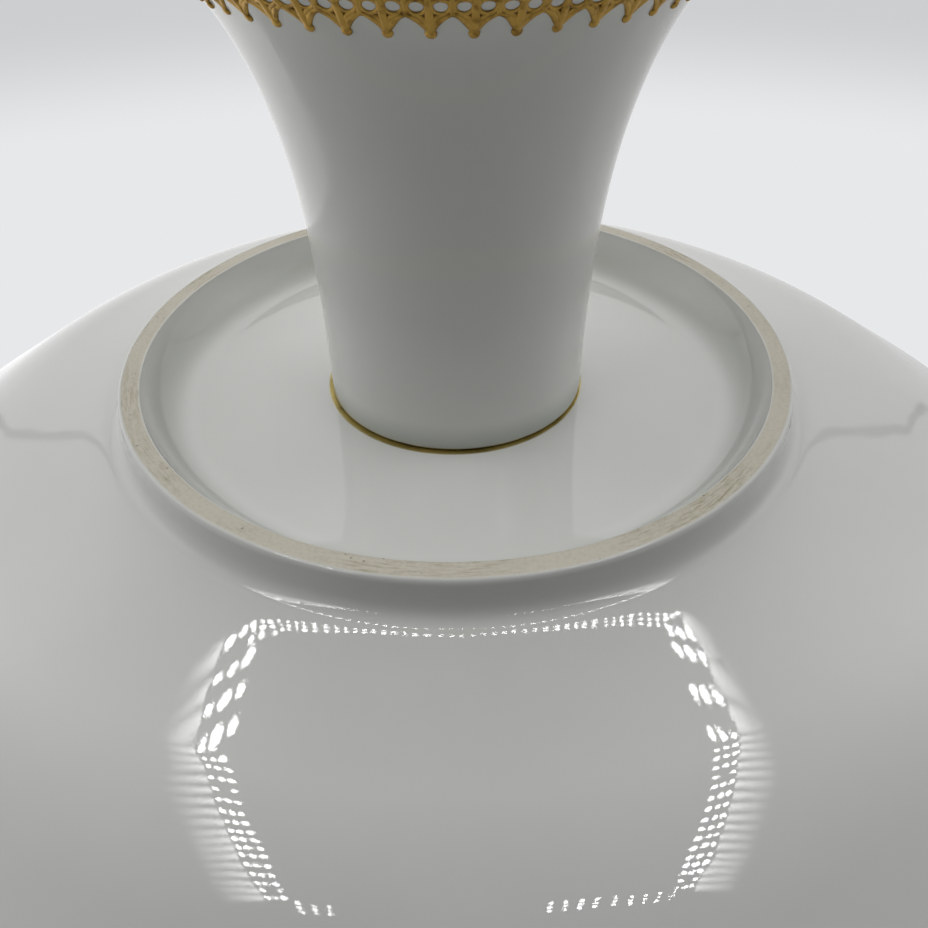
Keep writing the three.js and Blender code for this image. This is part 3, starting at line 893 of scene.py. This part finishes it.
screw_tip = low("bolt", 2)
head_top = high("bolt", 2)
head_radius = high("bolt", 0)
tip_chamfer = 0.6
head_fillet = 0.3
head_edge = 0.25
head_side = 1.2
dome_fall, dome_pull = 1.0, 0.55
thread_pitch = 0.001
thread_depth = 0.00054
slot_width = 1.4
slot_depth = 1.6
screw_outline = traced(
    (0, screw_tip),
    (3, (bolt_radius - tip_chamfer, screw_tip)),
    (4, (bolt_radius, screw_tip + tip_chamfer)),
    (280, (bolt_radius, head_seat - head_fillet)),
    (3, (bolt_radius + head_fillet, head_seat)),
    (6, (head_radius - head_edge, head_seat)),
    (4, (head_radius, head_seat), (head_radius, head_seat + head_edge)),
    (3, (head_radius, head_seat + head_side)),
    (18, (head_radius, head_top - dome_fall), (head_radius * dome_pull, head_top), (0, head_top)))
screw = turned("fixing_screw", screw_outline, 64, polished_brass)
screw = grown(screw, threading, {
    "Pitch": thread_pitch, "Depth": thread_depth, "Major Radius": bolt_radius * MILLIMETRE,
    "Start": (screw_tip + 0.1) * MILLIMETRE, "End": (web_underside + 4) * MILLIMETRE,
    "Run Out": 0.002, "Finish": polished_brass})
saw_reach = head_radius + 2
saw = mesh_object("saw", np.array([
    (x * saw_reach, y * slot_width / 2, head_top + z * slot_depth)
    for x in (-1, 1) for y in (-1, 1) for z in (-1, 1)]) * MILLIMETRE,
    faces=[(0, 1, 3, 2), (4, 6, 7, 5), (0, 4, 5, 1), (2, 3, 7, 6), (0, 2, 6, 4), (1, 5, 7, 3)])
closed(saw)
screw = shaped(screw, ("BOOLEAN", {"object": saw, "operation": "DIFFERENCE", "solver": "EXACT"}),
               ("TRIANGULATE", {}))
bpy.data.objects.remove(saw)
closed(screw).data.set_sharp_from_angle(angle=math.radians(32))
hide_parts("bolt")
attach(screw, "root")

# The clamp inside the pedestal
# A soft washer, and then a wide washer, a split lock washer and a hexagon nut of zinc-plated steel.
# They are put on the screw from below and pull the pedestal up against the bowl.
zinc = metal("Zinc Plate", srgb(176, 178, 180), srgb(138, 140, 142), 160.0, 1100.0, 1.0, 0.24)
stamped("inner_pad", 0.3, 0.06, cork)
clamp = stamped("clamp_washer", 0.18, 0.02, zinc)
clamp.data.set_sharp_from_angle(angle=math.radians(40))

spring_outer = 6.1
spring_low, spring_high = low("spring_washer", 2), high("spring_washer", 2)
spring_half = 0.8
bevel = 0.22
split_lean = math.radians(6)
spring_section = [
    (bore, spring_low), (spring_outer - bevel, spring_low), (spring_outer, spring_low + bevel),
    (spring_outer, spring_high - bevel), (spring_outer - bevel, spring_high), (bore, spring_high)]
sides = len(spring_section)
spring_turns = np.linspace(math.radians(7), math.radians(353), 73)
spring_points = []
for turn in spring_turns:
    for r, z in spring_section:
        skewed = turn + (z - spring_low - spring_half) / spring_half * split_lean
        spring_points.append((r * math.cos(skewed), r * math.sin(skewed), z))
last = (len(spring_turns) - 1) * sides
spring_faces = [*skinned(len(spring_turns), sides), tuple(range(sides)),
                tuple(last + j for j in range(sides))]
spring = mesh_object("lock_washer", np.array(spring_points) * MILLIMETRE, faces=spring_faces)
spring.data.materials.append(zinc)
closed(spring).data.set_sharp_from_angle(angle=math.radians(30))
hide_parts("spring_washer")
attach(spring, "root")

# The milling that turns a round blank into a hexagon.
milling, given = group("Mill Flats", "Geometry", {
    "Blank": "Geometry", "Flats": 6, "Across Flats": 0.01, "Finish": "Material"},
    {"Nut": "Geometry"})
place = split(position(milling))
wedge = math.pi / given["Flats"]
off_flat = place["Y"].by("ARCTAN2", place["X"]) - wedge
off_flat = off_flat.by("WRAP", wedge, wedge * -1.0)
limit = given["Across Flats"] * 0.5 / off_flat.by("COSINE")
kept = (limit / joined(milling, place["X"], place["Y"]).length()).by("MINIMUM", 1.0)
milled = joined(milling, place["X"] * kept, place["Y"] * kept, place["Z"])
flats = add(milling, "GeometryNodeSetPosition", {"Geometry": given["Blank"], "Position": milled})[0]
delivered(flats, given["Finish"], "Nut")

nut_low, nut_high = low("nut", 2), high("nut", 2)
across_flats = 10
corner = high("nut", 0)
chamfer = 0.9
fall = chamfer * math.tan(math.radians(30))
countersink = 0.45
nut = turned("hexagon_nut", traced(
    (bore + countersink, nut_low),
    (4, (corner - chamfer, nut_low)),
    (12, (corner, nut_low + fall)),
    (8, (corner, nut_high - fall)),
    (12, (corner - chamfer, nut_high)),
    (4, (bore + countersink, nut_high)),
    (2, (bore, nut_high - countersink)),
    (6, (bore, nut_low + countersink)),
    (2, (bore + countersink, nut_low))), 96, zinc)
nut = grown(nut, milling, {"Across Flats": across_flats * MILLIMETRE, "Finish": zinc})
closed(nut).data.set_sharp_from_angle(angle=math.radians(24))
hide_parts("nut")
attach(nut, "root")

# The lace inside the rim
# The same pendants, smaller and ninety-six of them, hang inward from the gilded lip. The
# photograph doesn't show the bowl's inside, so the border follows the foot's.
rim_pendants = 96
rim_share = 0.72
lace_depth = 8.6


def smaller(stroke):
    return [(x * rim_share, y * rim_share, w * rim_share) for x, y, w in stroke]


rim_strokes = [smaller(stroke) for stroke in (*pendant_strokes, border_strokes[0])]
rim_strokes.append([(0.0, 4.7, 0.24), (half * rim_share, 4.7, 0.24)])
first = int(np.searchsorted(lengths_along(inside_wall), lace_depth))
rim_lace = drawn("rim_lace", rim_strokes, smaller(pendant_beads))
rim_lace = grown(rim_lace, piping, {
    "Line Sides": 6, "Bead Steps": 1, "Flatness": 0.6, "Finish": gold_lace})
rim_lace = wrapped(rim_lace, inside_wall[first::-1], 2 * half * rim_share, rim_pendants)
rim_lace = closed(grown(rim_lace, ringing, {
    "Count": rim_pendants, "Wander": 0.00025, "Wander Scale": 420.0, "Seed": 9,
    "Finish": gold_lace}))
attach(rim_lace, "root")

# The room
# A white light tent, open at the front, with a square frame of lamp strips over the work. The
# photograph has the bowl upside-down on its rim, so here the frame hangs below, the camera looks
# up from under the table, and the floor shows only from above.

# The tent's lit panels: which way each lies, and how bright it is.
wide_panels = {
    (1, 1, 1): 0.65, (0, 1, 0): 0.45, (1, 0, 1): 0.45, (-1, 1, -1): 0.4, (-1, 0, 1): 0.4,
    (1, 0, 0): 0.35, (0, 1, 1): 0.35, (-1, 1, 0): 0.3, (0, 0, 1): 0.25, (1, 1, -1): 0.2,
    (1, 1, 0): 0.15, (0, -1, 1): 0.15, (-1, -1, 1): 0.15, (-1, 1, 1): 0.05, (-1, 0, 0): 0.05}
narrow_panels = {
    (-4, 1, -3): 0.9, (4, 1, -3): 0.8, (0, 5, -6): 0.7, (0, 7, -4): 0.5, (5, 2, -2): 0.5,
    (-5, 2, -2): 0.3, (5, 7, -5): 0.2}
wide_edge, narrow_edge = 5, 18
corner_slope = 0.97
seam_depth = 0.75


def blank(made):
    """A new material or world with no nodes in it, and its tree."""
    made.use_nodes = True
    made.node_tree.nodes.clear()
    return made, made.node_tree


tent, sky = blank(bpy.data.worlds.new("Light Tent"))
bpy.context.scene.world = tent
toward = add(sky, "ShaderNodeTexCoord")["Generated"]
walls = 0.0
for panels, edge in ((wide_panels, wide_edge), (narrow_panels, narrow_edge)):
    for direction, brightness in panels.items():
        facing = toward.vector("DOT_PRODUCT", Vector(direction).normalized(), result="Value")
        walls = (facing * edge - edge).by("EXPONENT") * brightness + walls
way = split(toward)
back_corner = abs(way["Y"] - abs(way["X"]) * corner_slope)
low_down = ramped(way["Z"], 0.0, -0.08)
seam = (1.0 - ramped(back_corner, 0.004, 0.022)) * low_down
walls = walls * (1.0 - seam * seam_depth)
haze = blended(ramped(way["Z"], 0.185, 0.30), srgb(205, 206, 208), srgb(231, 232, 234))
path = add(sky, "ShaderNodeLightPath")
seen = path["Is Camera Ray"].by("MAXIMUM", path["Is Transmission Ray"])
background = add(sky, "ShaderNodeBackground", {"Color": blended(seen, walls, haze), "Strength": 1.0})
add(sky, "ShaderNodeOutputWorld", {"Surface": background[0]})

floor_reach = 8
floor_fade = (0.7, 5.0)
floor = mesh_object("floor", [(x * floor_reach, y * floor_reach, 0) for x, y in (
    (-1, -1), (1, -1), (1, 1), (-1, 1))], faces=[(0, 1, 2, 3)])
paper, tree = blank(bpy.data.materials.new("Floor Paper"))
matt = add(tree, "ShaderNodeBsdfDiffuse", {"Color": srgb(226, 227, 229)})
clear = add(tree, "ShaderNodeBsdfTransparent")
seen = add(tree, "ShaderNodeLightPath")["Is Camera Ray"]
above = seen * (1.0 - add(tree, "ShaderNodeNewGeometry")["Backfacing"])
spread = add(tree, "ShaderNodeTexCoord")["Object"].length()
paper_there = above * (1.0 - ramped(spread, *floor_fade))
shown = add(tree, "ShaderNodeMixShader", {0: paper_there, 1: clear[0], 2: matt[0]})
add(tree, "ShaderNodeOutputMaterial", {"Surface": shown[0]})
floor.data.materials.append(paper)

# The strips' diodes, three to a row, and the streaks of light they throw on the tent's wall
# beside them. Only the gloss shows them. A run gives (row, x, y, spacing across) at its ends and
# bends, and a dead row has lost its middle diode.
lamp_drop = 300
lamp_height = ring_plane - lamp_drop
diode_share = 0.38
diode_sides = 8
streak_gap = 1.6
streak_slant = -0.25
streak_places, streak_lengths = (-100, -20), (60, 26)
streak_half = 7.5
streak_flare = 1.4
runs = {
    "left": [(-3, 190, 1, 8.5), (-2, 187, -15, 9.5), (2, 181, -70, 9.5), (6, 185, -144, 9.5),
             (8, 185, -177, 9.5), (11, 183, -216, 9.5), (14, 182, -262, 9.5), (16, 178, -287, 9)],
    "right": [(-4, -185, 10, 6), (-3, -189, 1, 8), (-2, -190, -10, 9), (2, -203, -70, 9.5),
              (5, -213, -121, 10), (8, -218, -171, 10), (12, -222, -235, 11), (16, -220, -287, 9)],
    "back": [(0, 180, -1, 6), (2, 163, -1, 6), (3, 155, 2, 5.2), (10, 93, 1, 5.2), (21, 0, -7, 5),
             (32, -93, 1, 5.2), (42, -178, 6, 5.2)],
    "front_left": [(0, 156, -301, 8), (2, 126, -302, 7)],
    "front_right": [(0, -209, -300, 6), (1, -192, -297, 6.5), (8, -80, -297, 7)]}
dead = {("left", 4), ("left", 15), ("right", 4), ("right", 15)}


def rows_along(run):
    """The number, middle, spacing and direction of each row of diodes on a run."""
    run = np.array(run, float)
    numbers = np.arange(run[0, 0], run[-1, 0] + 1)
    x, y, gap = (np.interp(numbers, run[:, 0], run[:, i]) for i in (1, 2, 3))
    ways = np.gradient(np.column_stack([x, y]), axis=0)
    return [(int(n), *row, way / np.linalg.norm(way)) for n, *row, way in zip(numbers, x, y, gap, ways)]


diode_points, diode_faces = [], []
streak_points, streak_faces = [], []
for side, run in runs.items():
    for number, x, y, gap, way in rows_along(run):
        across = np.array([-way[1], way[0]])
        for place in (-1, 0, 1):
            if place == 0 and (side, number) in dead:
                continue
            middle = np.array([x, y]) + across * gap * place
            ring = [(middle[0] + px, middle[1] + py, lamp_height)
                    for px, py, _ in circle(0, 0, gap * diode_share, 0, diode_sides)[:-1]]
            diode_faces.append(tuple(len(diode_points) + i for i in range(diode_sides)))
            diode_points += ring
        if side in ("left", "right"):
            out_way = np.array([1.0 if x > 0 else -1.0, streak_slant])
            root = np.array([x, y]) + out_way * (gap * streak_gap)
            tip = root + out_way * np.interp(y, streak_places, streak_lengths)
            rise = np.array([0, streak_half])
            streak_faces.append(tuple(len(streak_points) + i for i in range(4)))
            streak_points += [(*(p + o), lamp_height) for p, o in (
                (root, -rise), (tip, -rise * streak_flare), (tip, rise * streak_flare), (root, rise))]


def lamp(name, points, faces, emission, gloss_only=True):
    made = mesh_object(name, np.array(points) * MILLIMETRE, faces=faces)
    made.data.materials.append(emission)
    made.visible_camera = False
    made.visible_diffuse = not gloss_only
    made.visible_glossy = gloss_only
    made.visible_shadow = False
    return made


def glowing(name, strength):
    finish, tree = blank(bpy.data.materials.new(name))
    glow = add(tree, "ShaderNodeEmission", {"Color": WHITE, "Strength": strength})
    add(tree, "ShaderNodeOutputMaterial", {"Surface": glow[0]})
    return finish


lamp("diodes", diode_points, diode_faces, glowing("Lamp Diodes", 24.0))
streaks, tree = blank(bpy.data.materials.new("Wall Streaks"))
uv = split(add(tree, "ShaderNodeTexCoord")["UV"])
fade = (1.0 - uv["X"]).by("POWER", 1.4)
ridge = ramped(abs(uv["Y"] * 2.0 - 1.0), 1.2, 0.0)
glow = add(tree, "ShaderNodeEmission", {"Color": WHITE, "Strength": fade * ridge * 9.5})
clear = add(tree, "ShaderNodeBsdfTransparent")
both = add(tree, "ShaderNodeAddShader", {0: glow[0], 1: clear[0]})
add(tree, "ShaderNodeOutputMaterial", {"Surface": both[0]})
streak = lamp("streaks", streak_points, streak_faces, streaks)
uv_map = streak.data.uv_layers.new(name="UVMap")
uv_map.data.foreach_set("uv", [0, 0, 1, 0, 1, 1, 0, 1] * len(streak_faces))

# What the side strips throw on the porcelain from so near.
strip_sides = ((-228, -202), (189, 219))
strip_end, strip_start = -262, 77
corners = [(x, y, lamp_height) for left, right in strip_sides for x, y in (
    (left, strip_end), (right, strip_end), (right, strip_start), (left, strip_start))]
lamp("side_strips", corners, [(0, 1, 2, 3), (4, 5, 6, 7)], glowing("Side Strips", 13.0),
     gloss_only=False)

# The camera stands where the photograph's did, turned over with the bowl. Its place is in ring
# radii from the middle of the bare band, and its focal length in the photograph's pixels.
photograph_width = 928
focal_length = 842
sensor = 36
pitch = math.radians(39.92)
roll = math.radians(-0.637)
stand = Vector((-0.0216, -2.320, -1.420)) * ring_radius + Vector((0, 0, ring_plane))
ahead = Vector((0, math.cos(pitch), math.sin(pitch)))
across = Vector((-1, 0, 0))
upward = Vector((0, math.sin(pitch), -math.cos(pitch)))
level_x = across * math.cos(roll) + upward * math.sin(roll)
level_y = -across * math.sin(roll) + upward * math.cos(roll)
camera = bpy.data.objects.new("camera", bpy.data.cameras.new("camera"))
bpy.context.scene.collection.objects.link(camera)
camera.data.sensor_width = sensor
camera.data.lens = sensor * focal_length / photograph_width
camera.data.clip_start = 0.004
camera.matrix_world = (Matrix.Translation(stand * MILLIMETRE)
                       @ Matrix((level_x, level_y, -ahead)).transposed().to_4x4())
bpy.context.scene.camera = camera
bpy.context.scene.view_settings.view_transform = "Standard"
